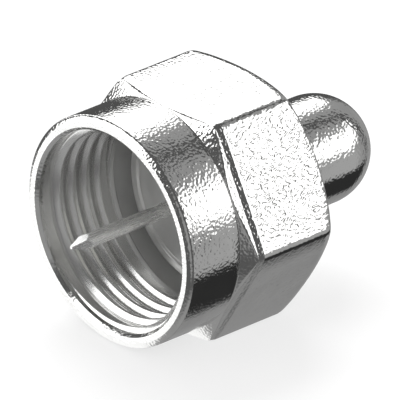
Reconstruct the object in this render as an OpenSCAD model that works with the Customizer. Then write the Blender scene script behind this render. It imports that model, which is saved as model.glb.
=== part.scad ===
// F-type 75 ohm coaxial terminator: a coupling nut that turns freely on a flanged post,
// with a domed cap behind it and a resistor sealed inside.
// The plug's axis is Y. The mating rim lies at y = 0, the cap points to +Y, and the
// terminator lies on one flat of its nut, so that flat faces -Z.

/* [Coupling nut] */
// Distance across the hexagon's flats
across_flats = 11; // [10.9:0.1:12]
// Length of the nut from its mating rim to its back face
nut_len = 8.3; // [7.8:0.1:10]
// Outer diameter of the round collar
collar_d = 10.9; // [10.5:0.1:10.9]
// Length of the round collar in front of the hexagon
collar_len = 3; // [1.5:0.1:5]
// Radius that rounds the collar's outer rim
rim_round = 0.3; // [0.1:0.05:0.4]
// Radius that softens the six long edges of the hexagon
edge_round = 0.5; // [0.1:0.05:0.8]
// Slope of the chamfer at the front of the hexagon, in degrees
front_slope = 28; // [15:1:40]
// Slope of the chamfer at the back of the hexagon, in degrees
back_slope = 33; // [15:1:40]

/* [Threaded mouth] */
// Major diameter of the coupling thread
thread_d = 9.525; // [9.4:0.025:9.6]
// Diameter at the crests of the thread's ridges
crest_d = 8.8; // [8.7:0.05:9]
// Pitch of the coupling thread
thread_pitch = 0.794; // [0.75:0.01:0.85]
// Length of the threaded wall, chamfer included
thread_len = 4.6; // [3:0.1:4.8]
// Depth of the chamfer that leads into the thread
mouth_chamfer = 0.15; // [0.1:0.05:0.25]
// Diameter of the relief behind the thread, which the flange turns in
relief_d = 9.8; // [9.6:0.1:10]

/* [Flanged post] */
// Depth of the flange's face behind the mating rim
seat_depth = 5.1; // [4.9:0.1:5.6]
// Diameter of the flange
flange_d = 8.6; // [7.9:0.1:8.7]
// Thickness of the flange
flange_thick = 1.5; // [1:0.1:1.6]
// Width of the chamfer round the flange's front edge
flange_chamfer = 0.15; // [0.05:0.05:0.2]
// Diameter of the contact ring turned into the flange's face
ring_d = 7.3; // [6:0.1:7.4]
// Width of that ring's groove
ring_width = 0.3; // [0.2:0.05:0.4]
// Depth of that ring's groove
ring_depth = 0.12; // [0.05:0.01:0.2]
// Outer diameter of the tube behind the flange
tube_d = 4.2; // [4:0.05:4.3]
// Diameter of the bore through the post
tube_bore = 3.3; // [3:0.05:3.5]

/* [Domed cap] */
// Outer diameter of the cap
cap_d = 5.1; // [4.8:0.05:5.6]
// Width of the chamfer round the cap's open end
cap_chamfer = 0.1; // [0.05:0.05:0.2]

/* [Contact pin and insulator] */
// Diameter of the resistor's wires, the front one of which is the contact pin
wire_d = 0.7; // [0.6:0.02:0.8]
// Length of pin that stands out of the mating rim
pin_reach = 2.2; // [1:0.1:3]
// Length of the pinched point at the pin's tip
point_len = 1; // [0.5:0.1:1.5]
// Width across the blunt end of that point
point_flat = 0.12; // [0.05:0.01:0.2]
// Width of the stretch of wire that is pressed flat to lock it in the bead
stake_width = 0.9; // [0.75:0.05:1]
// Thickness of that flattened stretch
stake_thick = 0.45; // [0.4:0.05:0.5]
// Thickness of the insulating bead
bead_thick = 1.1; // [0.8:0.1:1.2]
// Depth of the dish in the bead's front face
bead_dish = 0.25; // [0.1:0.05:0.4]

/* [Resistor] */
// Space between the bead and the resistor
bead_space = 0.2; // [0.1:0.05:0.3]
// Length of the coated resistor
resistor_len = 5.5; // [5:0.1:5.5]
// Diameter of the ceramic rod
rod_d = 1.6; // [1.4:0.05:1.7]
// Wall of the pressed end caps
end_cap_wall = 0.15; // [0.1:0.01:0.18]
// Length of the pressed end caps
end_cap_len = 1.1; // [0.8:0.1:1.5]
// Thickness of the coating
coat = 0.2; // [0.1:0.05:0.22]

/* [Rear wire and solder] */
// Straight length of wire between the resistor and its bend
wire_straight = 0.55; // [0.4:0.05:0.6]
// Radius of the bend, at the wire's middle
wire_bend = 0.5; // [0.4:0.05:0.6]
// Reach of the wire's end from the axis
wire_reach = 1.85; // [1.7:0.05:1.85]
// Height of solder between the tube's edge and the wire
solder_height = 0.3; // [0.2:0.05:0.35]
// Arc of the tube's edge that the solder covers, in degrees
solder_arc = 70; // [40:5:90]

/* [Clearances] */
// Radial clearance of the nut on the post's tube
turning_gap = 0.08; // [0.03:0.01:0.1]
// End play of the nut at each side of its back wall
end_play = 0.05; // [0.02:0.01:0.1]
// Margin of bare edge that the solder leaves on the post's tube
solder_margin = 0.15; // [0.12:0.01:0.2]
// Clearance between the end of the rear wire and the inside of the dome
dome_gap = 0.06; // [0.04:0.01:0.1]

/* [Hidden] */
$fn = 96;
slack = 1; // how far a cutter runs past what it cuts
wire_r = wire_d / 2;
tube_r = tube_d / 2;
bore_r = tube_bore / 2;
hex_corner_r = across_flats / 2 / cos(30);
hex_inset = 0.1; // how far inside the flats the chamfer cones start
edge_facet = 10; // turn between the facets of a rounded edge, in degrees
flange_back = seat_depth + flange_thick;
cap_front = nut_len + end_play;
bead_face = seat_depth + bead_dish;
bead_back = seat_depth + bead_thick;
resistor_front = bead_back + bead_space;
resistor_back = resistor_front + resistor_len;
rod_front = resistor_front + coat + end_cap_wall;
rod_back = resistor_back - coat - end_cap_wall;
end_cap_r = rod_d / 2 + end_cap_wall;
bend_y = resistor_back + wire_straight;
wire_y = bend_y + wire_bend;
tube_end = wire_y - wire_r - solder_height;
dome_y = wire_y + wire_r - sqrt(pow(tube_r - dome_gap, 2) - pow(wire_reach, 2));
nickel = [0.76, 0.76, 0.75];

// Stands what is modelled along Z on the plug's axis, with its top towards +Y.
module on_axis() {
    rotate([-90, 0, 0])
        children();
}

// A solid of revolution from [radius, distance along the axis] points.
module turned(points) {
    rotate_extrude()
        polygon(points);
}

// A tube or ring of revolution between two distances along the axis.
module ring(outer_r, inner_r, from, to) {
    turned([[inner_r, from], [outer_r, from], [outer_r, to], [inner_r, to]]);
}

// A direction in the plane across the axis.
function toward(angle) = [cos(angle), sin(angle)];

// The hexagon with its corners rounded in narrow facets, two of its flats facing up and down.
module rounded_hexagon() {
    centre_r = hex_corner_r - edge_round / cos(30);
    polygon([for (corner = [0 : 60 : 300], side = [-30 : edge_facet : 30])
        centre_r * toward(corner) + edge_round * toward(corner + side)]);
}

// The hexagonal length of the nut, chamfered by a cone at each end.
module hexagon_body() {
    inner = across_flats / 2 - hex_inset;
    outer = hex_corner_r + slack;
    rise = outer - inner;
    intersection() {
        translate([0, 0, collar_len])
            linear_extrude(nut_len - collar_len)
                rounded_hexagon();
        turned([[0, collar_len], [inner, collar_len],
                [outer, collar_len + rise * tan(front_slope)],
                [outer, nut_len - rise * tan(back_slope)],
                [inner, nut_len], [0, nut_len]]);
    }
}

// The round collar, which runs a little way into the hexagon.
module collar() {
    r = collar_d / 2;
    back = collar_len + hex_inset;
    rotate_extrude() {
        square([r - rim_round, back]);
        translate([0, rim_round])
            square([r, back - rim_round]);
        translate([r - rim_round, rim_round])
            circle(rim_round);
    }
}

// One ridge of the thread, with flanks at 60 degrees to each other, as a stretch of the
// mouth's outline. The ridges are closed rings, spaced by the pitch.
function ridge(middle) =
    let (root_r = thread_d / 2,
         crest_r = crest_d / 2,
         foot = thread_pitch * 7 / 16,
         top = foot - (root_r - crest_r) * tan(30))
    [[root_r, middle - foot], [crest_r, middle - top],
     [crest_r, middle + top], [root_r, middle + foot]];

module coupling_nut() {
    thread_r = thread_d / 2;
    threaded = thread_len - mouth_chamfer;
    ridges = floor(threaded / thread_pitch);
    first_ridge = mouth_chamfer + (threaded - (ridges - 1) * thread_pitch) / 2;
    relief_r = relief_d / 2;
    relief_front = thread_len + relief_r - thread_r;
    wall_front = flange_back + end_play;
    hole_r = tube_r + turning_gap;
    color(nickel)
        on_axis()
            difference() {
                union() {
                    collar();
                    hexagon_body();
                }
                turned([[0, -slack], [thread_r + mouth_chamfer + slack, -slack],
                        [thread_r, mouth_chamfer],
                        for (count = [0 : ridges - 1]) each ridge(first_ridge + count * thread_pitch),
                        [thread_r, thread_len],
                        [relief_r, relief_front], [relief_r, wall_front], [0, wall_front]]);
                turned([[0, 0], [hole_r, 0], [hole_r, nut_len - cap_chamfer],
                        [hole_r + cap_chamfer + slack, nut_len + slack], [0, nut_len + slack]]);
            }
}

module flanged_post() {
    flange_r = flange_d / 2;
    ring_r = ring_d / 2;
    half = ring_width / 2;
    color(nickel)
        on_axis()
            turned([[bore_r, seat_depth],
                    [ring_r - half, seat_depth], [ring_r - half / 2, seat_depth + ring_depth],
                    [ring_r + half / 2, seat_depth + ring_depth], [ring_r + half, seat_depth],
                    [flange_r - flange_chamfer, seat_depth], [flange_r, seat_depth + flange_chamfer],
                    [flange_r, flange_back], [tube_r, flange_back],
                    [tube_r, tube_end], [bore_r, tube_end]]);
}

// A solid rod with a half-round end, from one distance along the axis to its dome's top.
module domed_rod(r, from) {
    straight = dome_y - from;
    translate([0, 0, dome_y])
        rotate_extrude() {
            translate([0, -straight])
                square([r, straight]);
            intersection() {
                circle(r);
                square(r + slack);
            }
        }
}

module domed_cap() {
    r = cap_d / 2;
    color(nickel)
        on_axis()
            difference() {
                domed_rod(r, cap_front);
                domed_rod(tube_r, cap_front - slack);
                difference() {
                    ring(r + slack, 0, cap_front - slack, cap_front + cap_chamfer);
                    turned([[0, cap_front - slack], [r - cap_chamfer - slack, cap_front - slack],
                            [r, cap_front + cap_chamfer], [0, cap_front + cap_chamfer]]);
                }
            }
}

// The flattened stretch of wire, between two distances along the axis.
module stake(from, to) {
    translate([-stake_width / 2, -stake_thick / 2, from])
        cube([stake_width, stake_thick, to - from]);
}

// The dished bead that holds the pin, pressed into the post's bore.
module insulator() {
    dish_r = bore_r - bead_dish;
    color("white")
        on_axis()
            difference() {
                turned([[0, bead_face], [dish_r - bead_dish, bead_face],
                        [dish_r, seat_depth], [bore_r, seat_depth],
                        [bore_r, bead_back], [0, bead_back]]);
                stake(bead_face - slack, bead_back + slack);
            }
}

// A rod that comes to a blunt point with four flat sides, as a pinched wire does.
module pinched_point() {
    base_r = wire_r / cos(45);
    intersection() {
        cylinder(r = wire_r, h = point_len);
        rotate(45)
            cylinder(r1 = point_flat / 2, r2 = base_r, h = point_len, $fn = 4);
    }
}

module contact_pin() {
    tip = -pin_reach;
    color([0.8, 0.8, 0.8])
        on_axis() {
            translate([0, 0, tip])
                pinched_point();
            translate([0, 0, tip + point_len])
                cylinder(r = wire_r, h = bead_face - tip - point_len);
            stake(bead_face, bead_back);
            translate([0, 0, bead_back])
                cylinder(r = wire_r, h = resistor_front + coat - bead_back);
        }
}

module resistor_rod() {
    color("ivory")
        on_axis()
            ring(rod_d / 2, 0, rod_front, rod_back);
}

// One pressed steel cap. Its closed face lies at face, and its skirt runs along the rod.
module end_cap(face, skirt) {
    r = rod_d / 2;
    inside = face + skirt * end_cap_wall;
    lip = face + skirt * end_cap_len;
    color("gray")
        on_axis()
            turned([[0, face], [end_cap_r, face], [end_cap_r, lip], [r, lip], [r, inside], [0, inside]]);
}

module front_end_cap() {
    end_cap(rod_front - end_cap_wall, 1);
}

module rear_end_cap() {
    end_cap(rod_back + end_cap_wall, -1);
}

// The coating follows the caps and the waist between them, and lets the wires out.
module resistor_coating() {
    r = rod_d / 2;
    front = resistor_front + coat;
    back = resistor_back - coat;
    front_lip = front + end_cap_len;
    back_lip = back - end_cap_len;
    wide = end_cap_r + coat;
    waist = r + coat;
    color("tan")
        on_axis()
            turned([[wire_r, resistor_front], [end_cap_r, resistor_front],
                    [wide, front], [wide, front_lip], [waist, front_lip + coat],
                    [waist, back_lip - coat], [wide, back_lip], [wide, back],
                    [end_cap_r, resistor_back], [wire_r, resistor_back],
                    [wire_r, back], [end_cap_r, back], [end_cap_r, back_lip], [r, back_lip],
                    [r, front_lip], [end_cap_r, front_lip], [end_cap_r, front], [wire_r, front]]);
}

// The rear wire, bent down towards the edge of the post's tube.
module bent_wire() {
    translate([0, 0, resistor_back - coat])
        cylinder(r = wire_r, h = bend_y - resistor_back + coat);
    translate([0, wire_bend, bend_y])
        rotate([0, -90, 0])
            rotate([0, 0, -90])
                rotate_extrude(angle = 90)
                    translate([wire_bend, 0])
                        circle(wire_r);
    translate([0, wire_bend, wire_y])
        rotate([-90, 0, 0])
            cylinder(r = wire_r, h = wire_reach - wire_bend);
}

module rear_wire() {
    color([0.8, 0.8, 0.8])
        on_axis()
            bent_wire();
}

// Solder between the edge of the post's tube and the rear wire, hollowed by the wire.
module solder_joint() {
    outer_r = tube_r - solder_margin;
    color("silver")
        on_axis()
            difference() {
                rotate(90 - solder_arc / 2)
                    rotate_extrude(angle = solder_arc)
                        polygon([[bore_r, tube_end], [outer_r, tube_end],
                                 [outer_r, wire_y], [bore_r, wire_y]]);
                translate([0, 0, wire_y])
                    rotate([-90, 0, 0])
                        cylinder(r = wire_r, h = wire_reach);
            }
}

coupling_nut();
flanged_post();
domed_cap();
insulator();
contact_pin();
resistor_rod();
front_end_cap();
rear_end_cap();
resistor_coating();
rear_wire();
solder_joint();
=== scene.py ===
"""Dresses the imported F-type terminator in its finishes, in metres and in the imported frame.

The plug's axis is Y, with the mating rim at y = 0 and the domed cap towards +Y. The
terminator lies on one flat of its nut.
"""

import logging
import math
from abc import ABC, abstractmethod
from collections.abc import Callable, Mapping, Sequence
from dataclasses import dataclass, field
from enum import Enum

import bmesh
import bpy
from mathutils import Matrix, Vector


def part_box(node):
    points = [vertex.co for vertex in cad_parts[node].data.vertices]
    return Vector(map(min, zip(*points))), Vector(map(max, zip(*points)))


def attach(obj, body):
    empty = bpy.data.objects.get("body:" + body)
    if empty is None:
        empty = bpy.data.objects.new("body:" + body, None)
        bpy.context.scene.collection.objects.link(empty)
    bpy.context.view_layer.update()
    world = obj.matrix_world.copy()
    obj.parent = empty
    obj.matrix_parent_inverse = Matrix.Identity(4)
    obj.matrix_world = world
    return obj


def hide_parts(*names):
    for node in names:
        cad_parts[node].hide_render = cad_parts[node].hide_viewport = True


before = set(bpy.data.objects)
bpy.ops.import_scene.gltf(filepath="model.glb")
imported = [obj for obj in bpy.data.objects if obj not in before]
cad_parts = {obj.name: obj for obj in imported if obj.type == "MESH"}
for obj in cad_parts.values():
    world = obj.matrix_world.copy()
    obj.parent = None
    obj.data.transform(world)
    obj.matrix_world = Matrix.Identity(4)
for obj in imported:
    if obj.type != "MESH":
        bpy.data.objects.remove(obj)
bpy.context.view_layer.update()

MM = 0.001
# The rounding of an edge that a tool has only just broken
BROKEN_EDGE = 0.03 * MM
LOG = logging.getLogger("terminator")

Colour = tuple[float, float, float]
Triple = tuple[float, float, float]
Point = tuple[float, float]


def rgba(colour: Colour) -> tuple[float, float, float, float]:
    """The colour with an alpha of 1."""
    return (*colour, 1.0)


def grey(value: float) -> tuple[float, float, float, float]:
    """A neutral colour with an alpha of 1."""
    return (value, value, value, 1.0)


# ---------------------------------------------------------------- node graphs


@dataclass(frozen=True)
class Signal:
    """A value that flows through a node tree, so that its maths reads as Python."""

    graph: "Graph"
    socket: bpy.types.NodeSocket

    def maths(self, operation: str, *operands: "Signal | float", clamp: bool = False) -> "Signal":
        """Feeds operands to one Math node.

        Args:
            operation: The Math node's operation.
            operands: Its inputs, in order.
            clamp: Whether the result is held between 0 and 1.

        Returns:
            The node's result.
        """
        settings = {"operation": operation, "use_clamp": clamp}
        made = self.graph.node("ShaderNodeMath", settings, dict(enumerate(operands)))
        return Signal(self.graph, made.outputs[0])

    def __add__(self, other: "Signal | float") -> "Signal":
        """self + other."""
        return self.maths("ADD", self, other)

    def __radd__(self, other: float) -> "Signal":
        """other + self."""
        return self.maths("ADD", other, self)

    def __sub__(self, other: "Signal | float") -> "Signal":
        """self - other."""
        return self.maths("SUBTRACT", self, other)

    def __rsub__(self, other: float) -> "Signal":
        """other - self."""
        return self.maths("SUBTRACT", other, self)

    def __mul__(self, other: "Signal | float") -> "Signal":
        """self * other."""
        return self.maths("MULTIPLY", self, other)

    def __rmul__(self, other: float) -> "Signal":
        """other * self."""
        return self.maths("MULTIPLY", other, self)

    def __truediv__(self, other: "Signal | float") -> "Signal":
        """self / other."""
        return self.maths("DIVIDE", self, other)

    def __rtruediv__(self, other: float) -> "Signal":
        """other / self."""
        return self.maths("DIVIDE", other, self)

    def __gt__(self, other: "Signal | float") -> "Signal":
        """1 where self is greater than other, and 0 elsewhere."""
        return self.maths("GREATER_THAN", self, other)

    def bounded(self) -> "Signal":
        """self held between 0 and 1."""
        return self.maths("ADD", self, 0.0, clamp=True)

    def root(self) -> "Signal":
        """The square root of self."""
        return self.maths("SQRT", self)

    def size(self) -> "Signal":
        """self without its sign."""
        return self.maths("ABSOLUTE", self)

    def sine(self) -> "Signal":
        """The sine of self, which is in radians."""
        return self.maths("SINE", self)

    def angle_from(self, other: "Signal") -> "Signal":
        """The angle, in radians, of the point whose height is self and whose reach is other."""
        return self.maths("ARCTAN2", self, other)

    def greater(self, other: "Signal | float") -> "Signal":
        """The greater of self and other."""
        return self.maths("MAXIMUM", self, other)


class Graph:
    """A shader or geometry node tree that is being written."""

    def __init__(self, tree: bpy.types.NodeTree) -> None:
        """Starts on a tree.

        Args:
            tree: The tree that nodes are added to.
        """
        self.tree = tree

    def node(
        self,
        kind: str,
        settings: Mapping[str, object] | None = None,
        values: Mapping[int | str, object] | None = None,
    ) -> bpy.types.Node:
        """Adds one node.

        Args:
            kind: The node's type.
            settings: Its properties, set first.
            values: What its sockets hold, as constants or as signals.

        Returns:
            The new node.
        """
        made = self.tree.nodes.new(kind)
        for name, value in (settings or {}).items():
            setattr(made, name, value)
        for key, value in (values or {}).items():
            self.feed(made.inputs[key], value)
        return made

    def signal(
        self,
        kind: str,
        settings: Mapping[str, object] | None = None,
        values: Mapping[int | str, object] | None = None,
        output: int | str = 0,
    ) -> Signal:
        """Adds one node, as node() does, and returns one of its outputs as a signal."""
        return Signal(self, self.node(kind, settings, values).outputs[output])

    def feed(self, socket: bpy.types.NodeSocket, value: object) -> None:
        """Gives a socket what it holds.

        Args:
            socket: The input socket.
            value: A signal, which is linked, or a constant.
        """
        if isinstance(value, Signal):
            self.tree.links.new(value.socket, socket)
        else:
            socket.default_value = value


@dataclass
class Surface(Graph):
    """A material's shader tree, with the patterns that the finishes share."""

    name: str
    material: bpy.types.Material = field(init=False)

    def __post_init__(self) -> None:
        """Makes the empty material and reads the place on the object."""
        self.material = bpy.data.materials.new(self.name)
        self.material.use_nodes = True
        self.tree = self.material.node_tree
        self.tree.nodes.clear()
        self.place = self.signal("ShaderNodeTexCoord", output="Object")

    def axes(self) -> tuple[Signal, Signal, Signal]:
        """The place's x, y and z, as three signals in metres."""
        split = self.node("ShaderNodeSeparateXYZ", values={0: self.place})
        return tuple(Signal(self, socket) for socket in split.outputs)

    def along(self, direction: Triple) -> Signal:
        """How far the place lies along a direction.

        Args:
            direction: The direction. Its length multiplies the result.

        Returns:
            The distance from the origin, in metres for a direction 1 long.
        """
        values = {0: self.place, 1: direction}
        settings = {"operation": "DOT_PRODUCT"}
        return self.signal("ShaderNodeVectorMath", settings, values, output="Value")

    def noise(self, size: float, detail: float = 2.0, stretch: Triple = (1, 1, 1)) -> Signal:
        """Smooth noise from 0 to 1.

        Args:
            size: The width of one blot, in metres.
            detail: How many finer layers are added.
            stretch: How much finer the pattern is along x, y and z.

        Returns:
            The noise.
        """
        place = self.signal("ShaderNodeMapping", values={"Vector": self.place, "Scale": stretch})
        values = {"Vector": place, "Scale": 1 / size, "Detail": detail, "Roughness": 0.55}
        return self.signal("ShaderNodeTexNoise", values=values, output="Fac")

    def blend(self, share: Signal, first: Signal | Colour, second: Colour) -> Signal:
        """Mixes two colours.

        Args:
            share: How much of the second colour shows, from 0 to 1.
            first: The colour underneath, plain or itself a mix.
            second: The colour on top.

        Returns:
            The mixed colour.
        """
        under = first if isinstance(first, Signal) else rgba(first)
        values = {"Factor": share, 6: under, 7: rgba(second)}
        return self.signal("ShaderNodeMix", {"data_type": "RGBA"}, values, output=2)

    def relief(self, height: Signal, depth: float, under: Signal | None = None) -> Signal:
        """A bumped normal.

        Args:
            height: The height, as a share of the depth.
            depth: What a height of 1 measures, in metres.
            under: The normal that the bump lies on, or None for the mesh's own.

        Returns:
            The normal.
        """
        values = {"Height": height, "Distance": depth, "Strength": 1.0}
        if under is not None:
            values["Normal"] = under
        return self.signal("ShaderNodeBump", values=values)

    def finish(self, sockets: Mapping[str, object]) -> bpy.types.Material:
        """Ends the tree in a Principled shader.

        Args:
            sockets: What the shader's sockets hold, by their names.

        Returns:
            The finished material.
        """
        shader = self.signal("ShaderNodeBsdfPrincipled", values=sockets)
        self.node("ShaderNodeOutputMaterial", values={"Surface": shader})
        return self.material


# -------------------------------------------------------------------- finishes


class Finish(ABC):
    """What a piece is finished with."""

    @abstractmethod
    def build(self) -> bpy.types.Material:
        """Makes the material."""


@dataclass(frozen=True)
class NickelPlate(Finish):
    """Bright nickel over tumbled brass: finely dimpled outside, and smoother and duller in a bore.

    The side that pitted_side faces is pitted where it lies past pitted_reach, which is far off
    the piece unless a piece sets it. With a bore_d of 0 nothing is dressed as a bore.
    """

    name: str
    colour: Colour = (0.80, 0.80, 0.79)
    shadow: Colour = (0.70, 0.70, 0.69)
    roughness: float = 0.08
    dimple_size: float = 0.13 * MM
    dimple_depth: float = 0.019 * MM
    grain_size: float = 0.05 * MM
    grain_depth: float = 0.0025 * MM
    stain_size: float = 1.56 * MM
    stain_contrast: float = 2.4
    stain_roughness: float = 0.06
    pitted_side: Triple = (0.866, 0.0, 0.5)
    pitted_reach: float = 1.0
    pitted_from: float = 3.8 * MM
    pit_size: float = 0.11 * MM
    pitting: float = 1.9
    sheltered_below: float = 0.9 * MM
    sheltered_blur: float = 1.2 * MM
    sheltered_smoothing: float = 0.6
    bore_d: float = 0.0
    bore_ends: tuple[float, float] = (0.3 * MM, 6.9 * MM)
    chamber_from: float = 4.3 * MM
    bore_roughness: float = 0.12
    bore_smoothing: float = 0.85
    bore_dulling: float = 0.08
    chamber_dulling: float = 0.38

    def build(self) -> bpy.types.Material:
        """Makes the plated metal."""
        surface = Surface(self.name)
        x, y, z = surface.axes()
        edge = 0.1 * MM
        bored = ((self.bore_d / 2 - (x * x + z * z).root()) / edge).bounded()
        bored = bored * ((y - self.bore_ends[0]) / edge).bounded()
        bored = bored * ((self.bore_ends[1] - y) / edge).bounded()
        chamber = ((y - self.chamber_from) / edge).bounded()
        pitted = ((surface.along(self.pitted_side) - self.pitted_reach) / edge).bounded()
        pitted = pitted * ((y - self.pitted_from) / edge).bounded()
        sheltered = ((self.sheltered_below - z) / self.sheltered_blur).bounded()
        round_dimples = surface.noise(self.dimple_size, 0.0) - 0.5
        long_dimples = surface.noise(self.pit_size, 0.0, stretch=(1.0, 0.6, 1.0)) - 0.5
        dimples = round_dimples + (long_dimples * self.pitting - round_dimples) * pitted
        dimples = dimples * (1.0 - bored * self.bore_smoothing)
        dimples = dimples * (1.0 - sheltered * self.sheltered_smoothing)
        grain = surface.noise(self.grain_size, 1.0)
        stain = surface.noise(self.stain_size, 3.0)
        stained = (stain * self.stain_contrast - 1.0).bounded()
        uneven = (stain - 0.5) * self.stain_roughness
        normal = surface.relief(dimples, self.dimple_depth)
        dulling = bored * (chamber * self.chamber_dulling + self.bore_dulling)
        return surface.finish({
            "Base Color": surface.blend(stained, self.colour, self.shadow),
            "Metallic": 1.0 - dulling,
            "Roughness": uneven + self.roughness + bored * self.bore_roughness,
            "Normal": surface.relief(grain, self.grain_depth, normal),
        })


@dataclass(frozen=True)
class TinnedWire(Finish):
    """Drawn wire with a thin coat of tin, which has fine lines along it."""

    name: str
    colour: Colour = (0.92, 0.92, 0.91)
    tarnish: Colour = (0.70, 0.70, 0.69)
    line_width: float = 0.035 * MM
    line_depth: float = 0.0015 * MM

    def build(self) -> bpy.types.Material:
        """Makes the wire's metal."""
        surface = Surface(self.name)
        lines = surface.noise(self.line_width, 1.0, stretch=(1.0, 0.05, 1.0))
        blots = surface.noise(0.5 * MM, 3.0)
        return surface.finish({
            "Base Color": surface.blend(blots, self.colour, self.tarnish),
            "Metallic": 0.85,
            "Roughness": lines * 0.12 + 0.2,
            "Normal": surface.relief(lines, self.line_depth),
        })


@dataclass(frozen=True)
class SolderMetal(Finish):
    """Solder that set with a slightly wrinkled skin."""

    name: str
    colour: Colour = (0.70, 0.71, 0.72)
    dull: Colour = (0.50, 0.51, 0.52)

    def build(self) -> bpy.types.Material:
        """Makes the solder."""
        surface = Surface(self.name)
        skin = surface.noise(0.16 * MM, 3.0)
        return surface.finish({
            "Base Color": surface.blend(skin, self.colour, self.dull),
            "Metallic": 1.0,
            "Roughness": skin * 0.2 + 0.15,
            "Normal": surface.relief(skin, 0.01 * MM),
        })


@dataclass(frozen=True)
class MouldedPlastic(Finish):
    """Natural moulded plastic, slightly waxy."""

    name: str
    colour: Colour = (0.86, 0.86, 0.82)
    cloudy: Colour = (0.78, 0.78, 0.73)

    def build(self) -> bpy.types.Material:
        """Makes the plastic."""
        surface = Surface(self.name)
        mottle = surface.noise(0.4 * MM, 3.0)
        return surface.finish({
            "Base Color": surface.blend(mottle, self.colour, self.cloudy),
            "Roughness": mottle * 0.15 + 0.38,
            "Subsurface Weight": 0.1,
            "Subsurface Radius": (0.2 * MM, 0.2 * MM, 0.18 * MM),
            "Normal": surface.relief(mottle, 0.004 * MM),
        })


@dataclass(frozen=True)
class Ceramic(Finish):
    """A fired rod under a thin resistive film, cut by a spiral."""

    name: str
    film: Colour = (0.10, 0.09, 0.08)
    bare: Colour = (0.84, 0.80, 0.72)
    spiral_pitch: float = 0.45 * MM
    cut_from: float = 0.75

    def build(self) -> bpy.types.Material:
        """Makes the film with the ceramic showing in its spiral cut."""
        surface = Surface(self.name)
        x, y, z = surface.axes()
        turn = y * (math.tau / self.spiral_pitch) - x.angle_from(z)
        cut = turn.sine() > self.cut_from
        grain = surface.noise(0.05 * MM, 2.0)
        return surface.finish({
            "Base Color": surface.blend(cut, self.film, self.bare),
            "Roughness": grain * 0.2 + 0.45,
            "Normal": surface.relief(grain, 0.002 * MM),
        })


@dataclass(frozen=True)
class BandedLacquer(Finish):
    """Baked lacquer with the four painted bands of a 75 ohm resistor."""

    name: str
    first_band: float
    band_spacing: float
    band_width: float
    colour: Colour = (0.66, 0.53, 0.33)
    thick: Colour = (0.58, 0.46, 0.28)
    bands: tuple[Colour, ...] = (
        (0.22, 0.08, 0.42), (0.05, 0.30, 0.10), (0.02, 0.02, 0.02), (0.62, 0.44, 0.14),
    )

    def build(self) -> bpy.types.Material:
        """Makes the lacquer and paints the bands along the axis."""
        surface = Surface(self.name)
        along = surface.axes()[1]
        paint = surface.blend(surface.noise(0.6 * MM, 3.0), self.colour, self.thick)
        for count, band in enumerate(self.bands):
            middle = self.first_band + count * self.band_spacing
            share = 1.0 - ((along - middle).size() > self.band_width / 2)
            paint = surface.blend(share, paint, band)
        skin = surface.noise(0.3 * MM, 2.0)
        return surface.finish({
            "Base Color": paint,
            "Roughness": skin * 0.15 + 0.2,
            "Coat Weight": skin * 0.2 + 0.3,
            "Normal": surface.relief(skin, 0.006 * MM),
        })


# ---------------------------------------------------------------------- meshes


def rounded(corners: Sequence[Triple], closed: bool, steps: int) -> list[Point]:
    """Rounds the corners of a profile with arcs.

    Args:
        corners: (radius, distance along the axis, rounding) of each corner.
        closed: Whether the last corner joins the first.
        steps: Into how many straight pieces each arc is divided.

    Returns:
        The profile's (radius, distance along the axis) points.
    """
    points: list[Point] = []
    count = len(corners)
    least_run, most_share = 0.3, 0.45
    for index, (reach, along, rounding) in enumerate(corners):
        at = Vector((reach, along))
        if not rounding or not closed and index in (0, count - 1):
            points.append((reach, along))
            continue
        before = Vector(corners[index - 1][:2]) - at
        after = Vector(corners[(index + 1) % count][:2]) - at
        half = before.angle(after) / 2
        room = most_share * min(before.length, after.length)
        run = min(rounding * max(1 / math.tan(half), least_run), room)
        start = at + before.normalized() * run
        end = at + after.normalized() * run
        for step in range(steps + 1):
            share = step / steps
            weights = ((1 - share) ** 2, 2 * share * (1 - share) * math.sin(half), share**2)
            arc = start * weights[0] + at * weights[1] + end * weights[2]
            points.append(tuple(arc / sum(weights)))
    return points


def around(count: int) -> list[float]:
    """Evenly spaced angles of a full turn, in radians."""
    return [math.tau * index / count for index in range(count)]


def lathed(
    name: str,
    angles: Sequence[float],
    section: Callable[[float], Sequence[Point]],
    closed: bool,
    crease: float = 38.0,
) -> bpy.types.Object:
    """Makes a mesh from sections that stand round the Y axis.

    Args:
        name: The piece's name.
        angles: Where the sections stand, in radians from +X towards +Z.
        section: Gives the (radius, y) points of the section at an angle.
        closed: Whether each section is a loop. If not, it starts and ends on the axis.
        crease: The angle past which an edge stays sharp, in degrees.

    Returns:
        The piece, linked to the scene and smoothly shaded.
    """
    mesh = bmesh.new()
    rows = []
    for angle in angles:
        points = section(angle)
        rows.append([
            mesh.verts.new((reach * math.cos(angle), along, reach * math.sin(angle)))
            for reach, along in points
        ])
    steps = len(rows[0]) if closed else len(rows[0]) - 1
    for row, following in zip(rows, rows[1:] + rows[:1], strict=True):
        for step in range(steps):
            nearby = (step + 1) % len(row)
            mesh.faces.new((row[step], row[nearby], following[nearby], following[step]))
    bmesh.ops.remove_doubles(mesh, verts=mesh.verts, dist=1e-8)
    bmesh.ops.dissolve_degenerate(mesh, dist=1e-8, edges=mesh.edges)
    bmesh.ops.recalc_face_normals(mesh, faces=mesh.faces)
    data = bpy.data.meshes.new(name)
    mesh.to_mesh(data)
    mesh.free()
    return shown(name, data, crease)


def shown(name: str, data: bpy.types.Mesh, crease: float) -> bpy.types.Object:
    """Links a mesh to the scene as a smoothly shaded piece.

    Args:
        name: The piece's name.
        data: Its mesh.
        crease: The angle past which an edge stays sharp, in degrees.

    Returns:
        The piece.
    """
    data.shade_smooth()
    data.set_sharp_from_angle(angle=math.radians(crease))
    piece = bpy.data.objects.new(name, data)
    bpy.context.scene.collection.objects.link(piece)
    return piece


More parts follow.
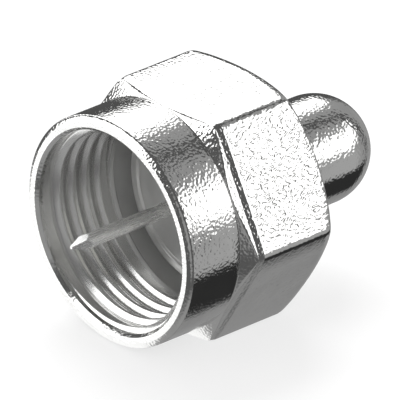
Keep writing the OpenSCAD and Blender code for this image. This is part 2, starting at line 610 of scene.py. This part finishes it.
def dressed(piece: bpy.types.Object, finish: Finish) -> bpy.types.Object:
    """Gives a piece one finish all over.

    Args:
        piece: The piece, whose old materials go.
        finish: What it is finished with.

    Returns:
        The same piece.
    """
    piece.data.materials.clear()
    piece.data.materials.append(finish.build())
    return piece


def report(piece: bpy.types.Object, body: str) -> None:
    """Logs a finished piece and the body that it rides on."""
    LOG.info("%s: %d faces, on %s", piece.name, len(piece.data.polygons), body)


class Body(Enum):
    """The bodies that move apart."""

    CORE = "core"
    NUT = "nut"


# --------------------------------------------------------------- coupling nut


@dataclass
class CouplingNut:
    """The hexagonal nut with its round collar, threaded mouth and back wall."""

    collar_d: float = 10.9 * MM
    collar_len: float = 3.0 * MM
    rim_width: float = 0.26 * MM
    rim_drop: float = 0.12 * MM
    rim_soft: float = 0.18 * MM
    edge_round: float = 0.46 * MM
    crown_len: float = 1.1 * MM
    crown_turn: float = math.radians(5)
    front_slope: float = math.radians(28)
    back_slope: float = math.radians(33)
    cone_inset: float = 0.1 * MM
    thread_d: float = 9.525 * MM
    thread_len: float = 4.6 * MM
    mouth_chamfer: float = 0.15 * MM
    relief_d: float = 9.8 * MM
    hole_d: float = 4.36 * MM
    wall_front: float = 6.65 * MM
    hole_chamfer: float = 0.1 * MM
    step_height: float = 0.06 * MM
    step_len: float = 0.3 * MM
    groove_depth: float = 0.05 * MM
    groove_len: float = 0.08 * MM
    front_soft: float = 0.06 * MM
    front_edge: float = 0.22 * MM
    back_len: float = 0.34 * MM
    back_drop: float = 0.055 * MM
    back_soft: float = 0.55 * MM
    side_turn: float = math.tau / 6
    corner_turn: float = math.radians(3)
    corner_steps: int = 14
    flat_steps: int = 40
    trace_steps: int = 400
    finish: NickelPlate = NickelPlate("nut_nickel_plate", pitted_reach=5.38 * MM, bore_d=10.0 * MM)

    def __post_init__(self) -> None:
        """Reads the nut's length and its width across flats from the frame."""
        low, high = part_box("coupling_nut")
        self.half_flats = (high.z - low.z) / 2
        self.length = high.y
        self.rim = low.y
        self.reaches = self.half_side()

    def half_side(self) -> list[Point]:
        """Walks half a side of the tumbled hexagon, from a flat's middle round to a corner.

        The flat turns slowly over its last part, and then the corner's arc turns to 30 degrees.

        Returns:
            (angle from the flat's middle, distance from the axis) pairs, in order.
        """
        half_turn = self.side_turn / 2
        arc_len = self.edge_round * (half_turn - self.crown_turn)
        curved = self.crown_len + arc_len
        pace = curved / self.trace_steps
        trace = []
        turn, aside, drop = 0.0, 0.0, 0.0
        for step in range(self.trace_steps):
            place = (step + 0.5) * pace
            if place < self.crown_len:
                turn = self.crown_turn * place / self.crown_len
            else:
                turn = self.crown_turn + (place - self.crown_len) / self.edge_round
            aside += math.cos(turn) * pace
            drop += math.sin(turn) * pace
            trace.append((aside, drop))
        plain = (self.half_flats - drop) * math.tan(half_turn) - aside
        whole = [(0.0, 0.0), (plain, 0.0)] + [(plain + across, down) for across, down in trace]
        return [
            (math.atan2(across, self.half_flats - down), math.hypot(across, self.half_flats - down))
            for across, down in whole
        ]

    def hexagon_reach(self, angle: float) -> float:
        """How far the tumbled hexagon reaches from the axis.

        Args:
            angle: The angle about the axis, in radians from +X towards +Z.

        Returns:
            The distance from the axis, in metres.
        """
        off_flat = abs(angle % self.side_turn - self.side_turn / 2)
        if off_flat <= self.reaches[1][0]:
            return self.half_flats / math.cos(off_flat)
        for before, after in zip(self.reaches[1:], self.reaches[2:]):
            if off_flat <= after[0]:
                share = (off_flat - before[0]) / (after[0] - before[0])
                return before[1] + (after[1] - before[1]) * share
        return self.reaches[-1][1]

    def angles(self) -> list[float]:
        """Where the nut's sections stand.

        Returns:
            Angles that are close together round each corner and wider on each flat.
        """
        turn = self.corner_turn
        corner = [turn * (2 * step / self.corner_steps - 1) for step in range(self.corner_steps)]
        wide = (self.side_turn - 2 * turn) / self.flat_steps
        flat = [turn + wide * step for step in range(self.flat_steps)]
        return [self.side_turn * side + offset for side in range(6) for offset in corner + flat]

    def section(self, angle: float) -> list[Point]:
        """The outline of the nut's wall.

        Args:
            angle: Where the section stands, in radians.

        Returns:
            The closed outline's (radius, y) points.
        """
        collar = self.collar_d / 2
        thread = self.thread_d / 2
        relief = self.relief_d / 2
        hole = self.hole_d / 2
        cone = self.half_flats - self.cone_inset
        reach = self.hexagon_reach(angle)
        front = self.rim + self.collar_len
        low_reach = reach - self.step_height
        step = front + (self.hexagon_reach(0.0) - cone) * math.tan(self.front_slope)
        back = self.length - (reach - self.back_drop - cone) * math.tan(self.back_slope)
        back_face = min(cone, reach - self.back_soft)
        return rounded([
            (thread + self.mouth_chamfer, self.rim, BROKEN_EDGE),
            (collar - self.rim_width, self.rim, self.front_soft),
            (collar, self.rim + self.rim_drop, self.rim_soft),
            (collar, front - self.groove_len, BROKEN_EDGE),
            (collar - self.groove_depth, front, self.front_soft),
            (low_reach, front + (low_reach - cone) * math.tan(self.front_slope), self.front_edge),
            (low_reach, step, BROKEN_EDGE),
            (reach, step + self.step_len, BROKEN_EDGE),
            (reach, back - self.back_len, self.front_soft),
            (reach - self.back_drop, back, self.back_soft),
            (back_face, self.length, self.front_soft),
            (hole + self.hole_chamfer, self.length, BROKEN_EDGE),
            (hole, self.length - self.hole_chamfer, BROKEN_EDGE),
            (hole, self.wall_front, BROKEN_EDGE),
            (relief, self.wall_front, BROKEN_EDGE),
            (relief, self.rim + self.thread_len + relief - thread, BROKEN_EDGE),
            (thread, self.rim + self.thread_len, BROKEN_EDGE),
            (thread, self.rim + self.mouth_chamfer, BROKEN_EDGE),
        ], closed=True, steps=6)

    def build(self) -> bpy.types.Object:
        """Makes the nut in place of its plain solid.

        Returns:
            The finished nut.
        """
        piece = lathed("coupling_nut_body", self.angles(), self.section, closed=True)
        weights = piece.modifiers.new("flat_faces", "WEIGHTED_NORMAL")
        weights.keep_sharp = True
        dressed(piece, self.finish)
        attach(piece, Body.NUT.value)
        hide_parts("coupling_nut")
        report(piece, Body.NUT.value)
        return piece


@dataclass
class CouplingThread:
    """The ridge of the nut's thread, swept along its helix by geometry nodes."""

    finish: NickelPlate
    pitch: float = 25.4 / 32 * MM
    wall_d: float = 9.525 * MM
    crest_d: float = 8.8 * MM
    front: float = 0.35 * MM
    back: float = 4.35 * MM
    root_share: float = 0.875
    flank_slope: float = math.radians(36)
    crest_round: float = 0.10 * MM
    sink: float = 0.04 * MM
    steps_a_turn: int = 180
    round_steps: int = 4
    fade_turns: float = 1 / 3
    start_turn: float = math.radians(150)

    def tree(self, material: bpy.types.Material) -> bpy.types.NodeTree:
        """Writes the node tree that sweeps the ridge.

        Args:
            material: What the ridge is finished with.

        Returns:
            The tree, with its sizes as named inputs.
        """
        tree = bpy.data.node_groups.new("thread_ridge", "GeometryNodeTree")
        graph = Graph(tree)
        face = tree.interface
        face.new_socket("Geometry", in_out="OUTPUT", socket_type="NodeSocketGeometry")
        for name in ("Radius", "Length", "Turns", "Depth", "Root Width", "Crest Width", "Crest Round"):
            face.new_socket(name, in_out="INPUT", socket_type="NodeSocketFloat")
        for name in ("Resolution", "Round Steps"):
            face.new_socket(name, in_out="INPUT", socket_type="NodeSocketInt")
        given = graph.node("NodeGroupInput")
        size = {socket.name: Signal(graph, socket) for socket in given.outputs if socket.name}
        helix = graph.signal("GeometryNodeCurveSpiral", values={
            "Resolution": size["Resolution"], "Rotations": size["Turns"],
            "Start Radius": size["Radius"], "End Radius": size["Radius"], "Height": size["Length"],
        })
        helix = graph.signal("GeometryNodeSetCurveNormal", {"mode": "Z_UP"}, {"Curve": helix})
        along = graph.signal("GeometryNodeSplineParameter", output="Factor")
        from_end = 0.5 - (along - 0.5).size()
        fade = (from_end * size["Turns"] / self.fade_turns).bounded()
        shape = graph.signal("GeometryNodeCurvePrimitiveQuadrilateral", {"mode": "TRAPEZOID"}, {
            "Height": size["Depth"], "Bottom Width": size["Root Width"],
            "Top Width": size["Crest Width"], "Offset": 0.0,
        })
        lifted = graph.signal("ShaderNodeCombineXYZ", values={"Y": size["Depth"] * 0.5})
        shape = graph.signal("GeometryNodeTransform", values={
            "Geometry": shape, "Translation": lifted,
        })
        shape = graph.signal("GeometryNodeTransform", values={
            "Geometry": shape, "Rotation": (0.0, 0.0, math.radians(-90)),
        })
        shape = graph.signal("GeometryNodeFilletCurve", {"mode": "POLY"}, {
            "Curve": shape, "Count": size["Round Steps"], "Radius": size["Crest Round"],
            "Limit Radius": True,
        })
        ridge = graph.signal("GeometryNodeCurveToMesh", values={
            "Curve": helix, "Profile Curve": shape, "Scale": fade, "Fill Caps": True,
        })
        ridge = graph.signal("GeometryNodeSetShadeSmooth", values={"Geometry": ridge})
        ridge = graph.signal("GeometryNodeRealizeInstances", values={"Geometry": ridge})
        ridge = graph.signal("GeometryNodeSetMaterial", values={
            "Geometry": ridge, "Material": material,
        })
        graph.node("NodeGroupOutput", values={"Geometry": ridge})
        return tree

    def sizes(self) -> dict[str, float | int]:
        """Works out the ridge's sizes.

        Returns:
            What each named input of the tree holds.
        """
        depth = (self.wall_d - self.crest_d) / 2 + self.sink
        root = self.pitch * self.root_share
        length = self.back - self.front
        turns = length / self.pitch
        return {
            "Radius": self.wall_d / 2 + self.sink,
            "Length": length,
            "Turns": turns,
            "Depth": depth,
            "Root Width": root,
            "Crest Width": root - 2 * depth * math.tan(self.flank_slope),
            "Crest Round": self.crest_round,
            "Resolution": self.steps_a_turn,
            "Round Steps": self.round_steps,
        }

    def build(self) -> bpy.types.Object:
        """Makes the ridge as a plain mesh that turns with the nut.

        Returns:
            The finished ridge.
        """
        carrier = bpy.data.objects.new("thread_carrier", bpy.data.meshes.new("thread_carrier"))
        bpy.context.scene.collection.objects.link(carrier)
        maker = carrier.modifiers.new("thread", "NODES")
        maker.node_group = self.tree(self.finish.build())
        wanted = self.sizes()
        for item in maker.node_group.interface.items_tree:
            if item.item_type == "SOCKET" and item.in_out == "INPUT":
                maker[item.identifier] = wanted[item.name]
        ready = carrier.evaluated_get(bpy.context.evaluated_depsgraph_get())
        data = bpy.data.meshes.new_from_object(ready)
        carrier.modifiers.remove(maker)
        bpy.data.objects.remove(carrier)
        data.name = "coupling_thread"
        upright = Matrix.Rotation(math.radians(-90), 4, "X")
        turned = Matrix.Rotation(self.start_turn, 4, "Z")
        data.transform(Matrix.Translation((0, self.front, 0)) @ upright @ turned)
        piece = shown("coupling_thread", data, 50.0)
        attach(piece, Body.NUT.value)
        report(piece, Body.NUT.value)
        return piece


# ------------------------------------------------------------------------ core


@dataclass
class FlangedPost:
    """The turned post whose flange a port is drawn against."""

    ring_d: float = 7.3 * MM
    ring_width: float = 0.3 * MM
    ring_depth: float = 0.12 * MM
    flange_thick: float = 1.5 * MM
    flange_chamfer: float = 0.15 * MM
    tube_d: float = 4.2 * MM
    bore_d: float = 3.3 * MM
    segments: int = 192
    # The post's nickel is the nut's and the cap's plating, painted darker (0.62 against 0.80) as painted
    # shade for its place deep inside the nut's bore.
    finish: NickelPlate = NickelPlate(
        "post_nickel_painted_shade", colour=(0.62, 0.62, 0.61), shadow=(0.54, 0.54, 0.53),
        bore_d=20 * MM, bore_ends=(0.0, 20 * MM),
    )

    def section(self, _angle: float) -> list[Point]:
        """The outline of the post's wall, the same all round.

        Args:
            _angle: Where the section stands, which changes nothing.

        Returns:
            The closed outline's (radius, y) points.
        """
        low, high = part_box("flanged_post")
        face, end, flange = low.y, high.y, high.x
        ring, half, tube, bore = self.ring_d / 2, self.ring_width / 2, self.tube_d / 2, self.bore_d / 2
        return rounded([
            (bore, face, BROKEN_EDGE),
            (ring - half, face, BROKEN_EDGE),
            (ring - half / 2, face + self.ring_depth, BROKEN_EDGE),
            (ring + half / 2, face + self.ring_depth, BROKEN_EDGE),
            (ring + half, face, BROKEN_EDGE),
            (flange - self.flange_chamfer, face, BROKEN_EDGE),
            (flange, face + self.flange_chamfer, BROKEN_EDGE),
            (flange, face + self.flange_thick, BROKEN_EDGE),
            (tube, face + self.flange_thick, BROKEN_EDGE),
            (tube, end, BROKEN_EDGE),
            (bore, end, BROKEN_EDGE),
        ], closed=True, steps=4)

    def build(self) -> bpy.types.Object:
        """Makes the post in place of its plain solid.

        Returns:
            The finished post.
        """
        piece = lathed("flanged_post_turned", around(self.segments), self.section, closed=True)
        dressed(piece, self.finish)
        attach(piece, Body.CORE.value)
        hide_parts("flanged_post")
        report(piece, Body.CORE.value)
        return piece


@dataclass
class DomedCap:
    """The drawn cap with its half-round end."""

    bore_d: float = 4.2 * MM
    mouth_chamfer: float = 0.1 * MM
    dome_steps: int = 40
    segments: int = 192
    finish: NickelPlate = NickelPlate("cap_nickel_plate")

    def section(self, _angle: float) -> list[Point]:
        """The cap's outline, the same all round.

        Args:
            _angle: Where the section stands, which changes nothing.

        Returns:
            Its (radius, y) points, from the dome's top round the mouth to the inside's top.
        """
        low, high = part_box("domed_cap")
        mouth, outer, inner = low.y, high.x, self.bore_d / 2
        centre = high.y - outer
        quarter = [math.pi / 2 * step / self.dome_steps for step in range(self.dome_steps + 1)]
        outside = [(outer * math.sin(turn), centre + outer * math.cos(turn)) for turn in quarter]
        inside = [(inner * math.sin(turn), centre + inner * math.cos(turn)) for turn in reversed(quarter)]
        lip = rounded([
            (outer, centre, 0.0),
            (outer, mouth + self.mouth_chamfer, BROKEN_EDGE),
            (outer - self.mouth_chamfer, mouth, BROKEN_EDGE),
            (inner, mouth, BROKEN_EDGE),
            (inner, centre, 0.0),
        ], closed=False, steps=3)
        return outside[:-1] + lip + inside[1:]

    def build(self) -> bpy.types.Object:
        """Makes the cap in place of its plain solid.

        Returns:
            The finished cap.
        """
        piece = lathed("domed_cap_drawn", around(self.segments), self.section, closed=False)
        dressed(piece, self.finish)
        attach(piece, Body.CORE.value)
        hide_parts("domed_cap")
        report(piece, Body.CORE.value)
        return piece


@dataclass
class ContactPin:
    """The pin: round wire, pinched to a point with four hollow sides and staked in the bead."""

    wire_d: float = 0.7 * MM
    point_len: float = 1.0 * MM
    point_flat: float = 0.12 * MM
    point_steps: int = 24
    hollow: float = 1.12
    stake: tuple[float, float] = (0.9 * MM, 0.45 * MM)
    stake_lead: float = 0.05 * MM
    bead_dish: float = 0.25 * MM
    segments: int = 96
    finish: TinnedWire = TinnedWire("pin_tin")

    def section(self, angle: float) -> list[Point]:
        """The pin's outline.

        Args:
            angle: Where the section stands, in radians.

        Returns:
            Its (radius, y) points, from the tip to the end inside the resistor.
        """
        low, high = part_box("contact_pin")
        bead_low, bead_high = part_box("insulator")
        bead_face = bead_low.y + self.bead_dish
        wire = self.wire_d / 2
        side = math.cos((angle + math.pi / 4) % (math.pi / 2) - math.pi / 4)
        points = [(0.0, low.y)]
        for step in range(self.point_steps + 1):
            share = step / self.point_steps
            across = self.point_flat / 2 * (1 - share) + wire * share**self.hollow
            points.append((min(wire, across / side), low.y + self.point_len * share))
        flat = min(
            self.stake[0] / 2 / max(abs(math.cos(angle)), 1e-6),
            self.stake[1] / 2 / max(abs(math.sin(angle)), 1e-6),
        )
        points += [
            (wire, bead_face), (flat, bead_face + self.stake_lead),
            (flat, bead_high.y - self.stake_lead), (wire, bead_high.y),
            (wire, high.y), (0.0, high.y),
        ]
        return points

    def build(self) -> bpy.types.Object:
        """Makes the pin in place of its plain solid.

        Returns:
            The finished pin.
        """
        piece = lathed("contact_pin_wire", around(self.segments), self.section, closed=False)
        dressed(piece, self.finish)
        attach(piece, Body.CORE.value)
        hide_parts("contact_pin")
        report(piece, Body.CORE.value)
        return piece


@dataclass
class SealedPieces:
    """The bead, the resistor and its joint, which keep their solids' own shapes.

    The resistor's bands are spaced evenly. The first one's place and a band's width are given in
    those spacings.
    """

    first_place: float = 1.2
    band_share: float = 0.45

    def finishes(self) -> dict[str, Finish]:
        """Chooses the finishes, with the resistor's bands spaced along its coating.

        Returns:
            The finish of each piece, by its node.
        """
        low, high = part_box("resistor_coating")
        spacing = (high.y - low.y) / (len(BandedLacquer.bands) + 2)
        return {
            "insulator": MouldedPlastic("bead_polyethylene"),
            "resistor_rod": Ceramic("film_on_ceramic"),
            "front_end_cap": TinnedWire("end_cap_tin", colour=(0.60, 0.60, 0.60)),
            "rear_end_cap": TinnedWire("rear_cap_tin", colour=(0.60, 0.60, 0.60)),
            "resistor_coating": BandedLacquer(
                "resistor_lacquer", low.y + spacing * self.first_place,
                spacing, spacing * self.band_share,
            ),
            "rear_wire": TinnedWire("rear_wire_tin"),
            "solder_joint": SolderMetal("tin_solder"),
        }

    def build(self) -> None:
        """Gives each piece its finish."""
        for node, finish in self.finishes().items():
            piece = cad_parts[node]
            dressed(piece, finish)
            report(piece, Body.CORE.value)


# ---------------------------------------------------------------------- studio


@dataclass(frozen=True)
class Side:
    """One side of a card in the light tent.

    The card lies past a plane that is square to facing. Its edge is how far that plane is from
    the tent's middle, and its blur how far the card takes to fade in, both as shares of the
    tent's radius. A facing longer than 1 shrinks both by its length.
    """

    facing: Triple
    edge: float
    blur: float = 0.06


@dataclass(frozen=True)
class Card:
    """A bright or dark card in the light tent, bounded by its sides."""

    light: float
    sides: tuple[Side, ...]


@dataclass(frozen=True)
class Lamp:
    """One soft square lamp that faces the terminator: its place and size in metres, and its watts."""

    name: str
    place: Triple
    size: float
    power: float


@dataclass
class Studio:
    """The floor, the light tent that the metal mirrors, the lamps and the camera."""

    tent_radius: float = 0.6
    floor_size: float = 4.0
    azimuth: float = 47.11
    elevation: float = 27.81
    roll: float = 1.41
    distance: float = 0.60
    focal_share: float = 33.785
    target: Triple = (2.22 * MM, 3.46 * MM, 1.38 * MM)
    cloth: float = 0.34
    floor_glow: float = 0.7
    ambient: float = 0.55
    lamps: tuple[Lamp, ...] = (
        Lamp("key_lamp", (-0.5, 0.3, 0.7), 0.6, 9.0),
        Lamp("fill_lamp", (0.7, -0.4, 0.5), 0.6, 4.0),
        Lamp("mouth_lamp", (-0.35, -0.75, 0.3), 0.4, 0.9),
    )
    cards: tuple[Card, ...] = (
        # Grey wall on the right, below the plug's middle
        Card(0.42, (Side((1, 0, 0), 0.40, 0.2), Side((0, 0, -1), -0.05, 0.1))),
        # Dark grey table underneath
        Card(0.29, (Side((0, 0, -1), 0.60, 0.2),)),
        # Bright wall on the right, from the plug's height up
        Card(1.8, (
            Side((1, 0, 0), 0.20), Side((0, 0, -1), -0.60), Side((0.54, 0, 1), 0.38),
            Side((0, 0, 1), 0.06),
        )),
        # Dark upright strip over the middle
        Card(0.09, (
            Side((1, 0, -0.05), -0.06), Side((-1, 0, 0.05), -0.19), Side((0, 0, 1), -0.45, 0.2),
        )),
        # Bright wall, high on the left
        Card(2.2, (
            Side((-0.766, 0, 0.643), 0.67, 0.08), Side((-1, 0, 0), 0.27, 0.1),
            Side((0, 0, 1), 0.12, 0.25),
        )),
        # Dark wall on the left, at the plug's height and below it
        Card(0.09, (
            Side((-1, 0, 0), 0.48, 0.12), Side((0, 0, -1), -0.35, 0.07), Side((0, 0, 1), -0.62, 0.1),
        )),
        # Black card, low and right of the middle
        Card(0.03, (
            Side((-0.2, 0, -1), 0.34, 0.06), Side((1, 0, 0), -0.01, 0.09), Side((0, 0, 1), -0.86),
        )),
        # Dark room, over all but the tent's back
        Card(0.11, (Side((0, -1, 0), -0.47, 0.06),)),
        # The bright wall high on the left, carried on forwards from the tent's back
        Card(2.2, (
            Side((0, -1, 0), -0.47, 0.06), Side((0, 1, 0), 0.14, 0.06), Side((-1, 0, 0), 0.27, 0.1),
            Side((-0.766, 0, 0.643), 0.67, 0.08),
        )),
        # Grey table under the dark room
        Card(0.33, (Side((0, -1, 0), -0.43, 0.12), Side((0, 0, -1), 0.60, 0.2))),
        # Grey wall in front, on the right
        Card(0.33, (Side((0.64, -0.77, 0), 0.82, 0.1),)),
        # Bright wall in front, on the left
        Card(2.2, (
            Side((0, -1, 0), 0.42, 0.1), Side((-0.845, 0.399, 0.358), -0.09, 0.08),
            Side((-1, 0, 0), -0.02, 0.08),
        )),
        # Bright wall in front, a little to the left
        Card(2.2, (Side((-0.6, -1, 0), 0.83, 0.1), Side((-0.845, 0.399, 0.358), -0.09, 0.08))),
        # Bright table under the dark room, on the left
        Card(1.2, (
            Side((0, -1, 0), -0.47, 0.06), Side((-1, 0, 0), 0.30, 0.1), Side((0, 0, -1), 0.38, 0.1),
        )),
    )

    def card_light(self, surface: Surface) -> Signal:
        """The tent's light in each direction from its middle.

        Args:
            surface: The tent's material.

        Returns:
            The light, with each card laid over the ones before it.
        """
        light = surface.signal("ShaderNodeValue")
        light.socket.default_value = self.cloth
        for card in self.cards:
            share = None
            for side in card.sides:
                reach = surface.along(side.facing) / self.tent_radius
                inside = ((reach - side.edge) / side.blur).bounded()
                share = inside if share is None else share * inside
            light = light + share * (card.light - light)
        return light

    def tent(self) -> None:
        """Stands a round tent about the terminator, which mirrors show and the camera doesn't."""
        surface = Surface("tent_cloth")
        light = self.card_light(surface)
        glow = surface.signal("ShaderNodeEmission", values={"Color": grey(1.0), "Strength": light})
        surface.node("ShaderNodeOutputMaterial", values={"Surface": glow})
        mesh = bmesh.new()
        bmesh.ops.create_uvsphere(mesh, u_segments=64, v_segments=32, radius=self.tent_radius)
        data = bpy.data.meshes.new("light_tent")
        mesh.to_mesh(data)
        mesh.free()
        data.materials.append(surface.material)
        tent = shown("light_tent", data, 180.0)
        tent.visible_camera = False
        tent.visible_diffuse = False
        tent.visible_shadow = False
        tent.visible_volume_scatter = False

    def floor(self) -> None:
        """Lays a pale floor under the terminator that keeps its soft shadow."""
        surface = Surface("floor_card")
        paper = surface.noise(8 * MM, 2.0)
        colour = surface.blend(paper, (0.90, 0.90, 0.90), (0.88, 0.88, 0.88))
        matte = surface.signal("ShaderNodeBsdfDiffuse", values={"Color": colour})
        white = surface.signal("ShaderNodeEmission", values={"Color": grey(1.0), "Strength": 1.0})
        seen = surface.signal("ShaderNodeLightPath", output="Is Camera Ray")
        glow = seen * self.floor_glow
        mixed = surface.signal("ShaderNodeMixShader", values={0: glow, 1: matte, 2: white})
        surface.node("ShaderNodeOutputMaterial", values={"Surface": mixed})
        half = self.floor_size / 2
        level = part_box("coupling_nut")[0].z
        data = bpy.data.meshes.new("floor")
        corners = [(-half, -half, level), (half, -half, level), (half, half, level), (-half, half, level)]
        data.from_pydata(corners, [], [(0, 1, 2, 3)])
        data.materials.append(surface.material)
        floor = shown("floor", data, 30.0)
        floor.visible_glossy = False

    def world(self) -> None:
        """Lights the scene evenly and shows white where a ray meets nothing."""
        world = bpy.data.worlds.new("studio")
        bpy.context.scene.world = world
        world.use_nodes = True
        graph = Graph(world.node_tree)
        world.node_tree.nodes.clear()
        path = graph.node("ShaderNodeLightPath")
        seen = Signal(graph, path.outputs["Is Camera Ray"])
        mirrored = Signal(graph, path.outputs["Is Glossy Ray"])
        through = Signal(graph, path.outputs["Is Transmission Ray"])
        white = seen.greater(mirrored).greater(through)
        faint = {"Color": grey(1.0), "Strength": self.ambient}
        soft = graph.signal("ShaderNodeBackground", values=faint)
        plain = graph.signal("ShaderNodeBackground", values={"Color": grey(1.0), "Strength": 1.0})
        mixed = graph.signal("ShaderNodeMixShader", values={0: white, 1: soft, 2: plain})
        graph.node("ShaderNodeOutputWorld", values={"Surface": mixed})

    def hang(self, lamp: Lamp) -> None:
        """Hangs one lamp.

        Args:
            lamp: The lamp, which nothing mirrors.
        """
        light = bpy.data.lights.new(lamp.name, "AREA")
        light.size = lamp.size
        light.energy = lamp.power
        hung = bpy.data.objects.new(lamp.name, light)
        hung.location = lamp.place
        hung.rotation_euler = Vector(lamp.place).to_track_quat("Z", "Y").to_euler()
        hung.visible_glossy = False
        bpy.context.scene.collection.objects.link(hung)

    def camera(self) -> None:
        """Sets the camera up, in front of the plug on its right and above it."""
        azimuth, elevation = math.radians(self.azimuth), math.radians(self.elevation)
        away = Vector((
            math.sin(azimuth) * math.cos(elevation),
            -math.cos(azimuth) * math.cos(elevation),
            math.sin(elevation),
        ))
        lens = bpy.data.cameras.new("camera")
        lens.sensor_width = 36.0
        lens.lens = lens.sensor_width * self.focal_share
        lens.clip_start = 0.01
        lens.clip_end = 10.0
        camera = bpy.data.objects.new("camera", lens)
        turn = away.to_track_quat("Z", "Y").to_matrix() @ Matrix.Rotation(math.radians(self.roll), 3, "Z")
        camera.matrix_world = Matrix.LocRotScale(
            Vector(self.target) + away * self.distance, turn.to_quaternion(), None,
        )
        bpy.context.scene.collection.objects.link(camera)
        bpy.context.scene.camera = camera

    def build(self) -> None:
        """Sets up the whole studio."""
        self.camera()
        self.floor()
        self.tent()
        self.world()
        for lamp in self.lamps:
            self.hang(lamp)
        bpy.context.scene.view_settings.view_transform = "Standard"


def main() -> None:
    """Builds the studio and then each sub-assembly, in order."""
    logging.basicConfig(level=logging.INFO, format="%(name)s: %(message)s")
    Studio().build()
    nut = CouplingNut()
    nut.build()
    CouplingThread(nut.finish).build()
    FlangedPost().build()
    DomedCap().build()
    ContactPin().build()
    SealedPieces().build()


if __name__ == "__main__":
    main()
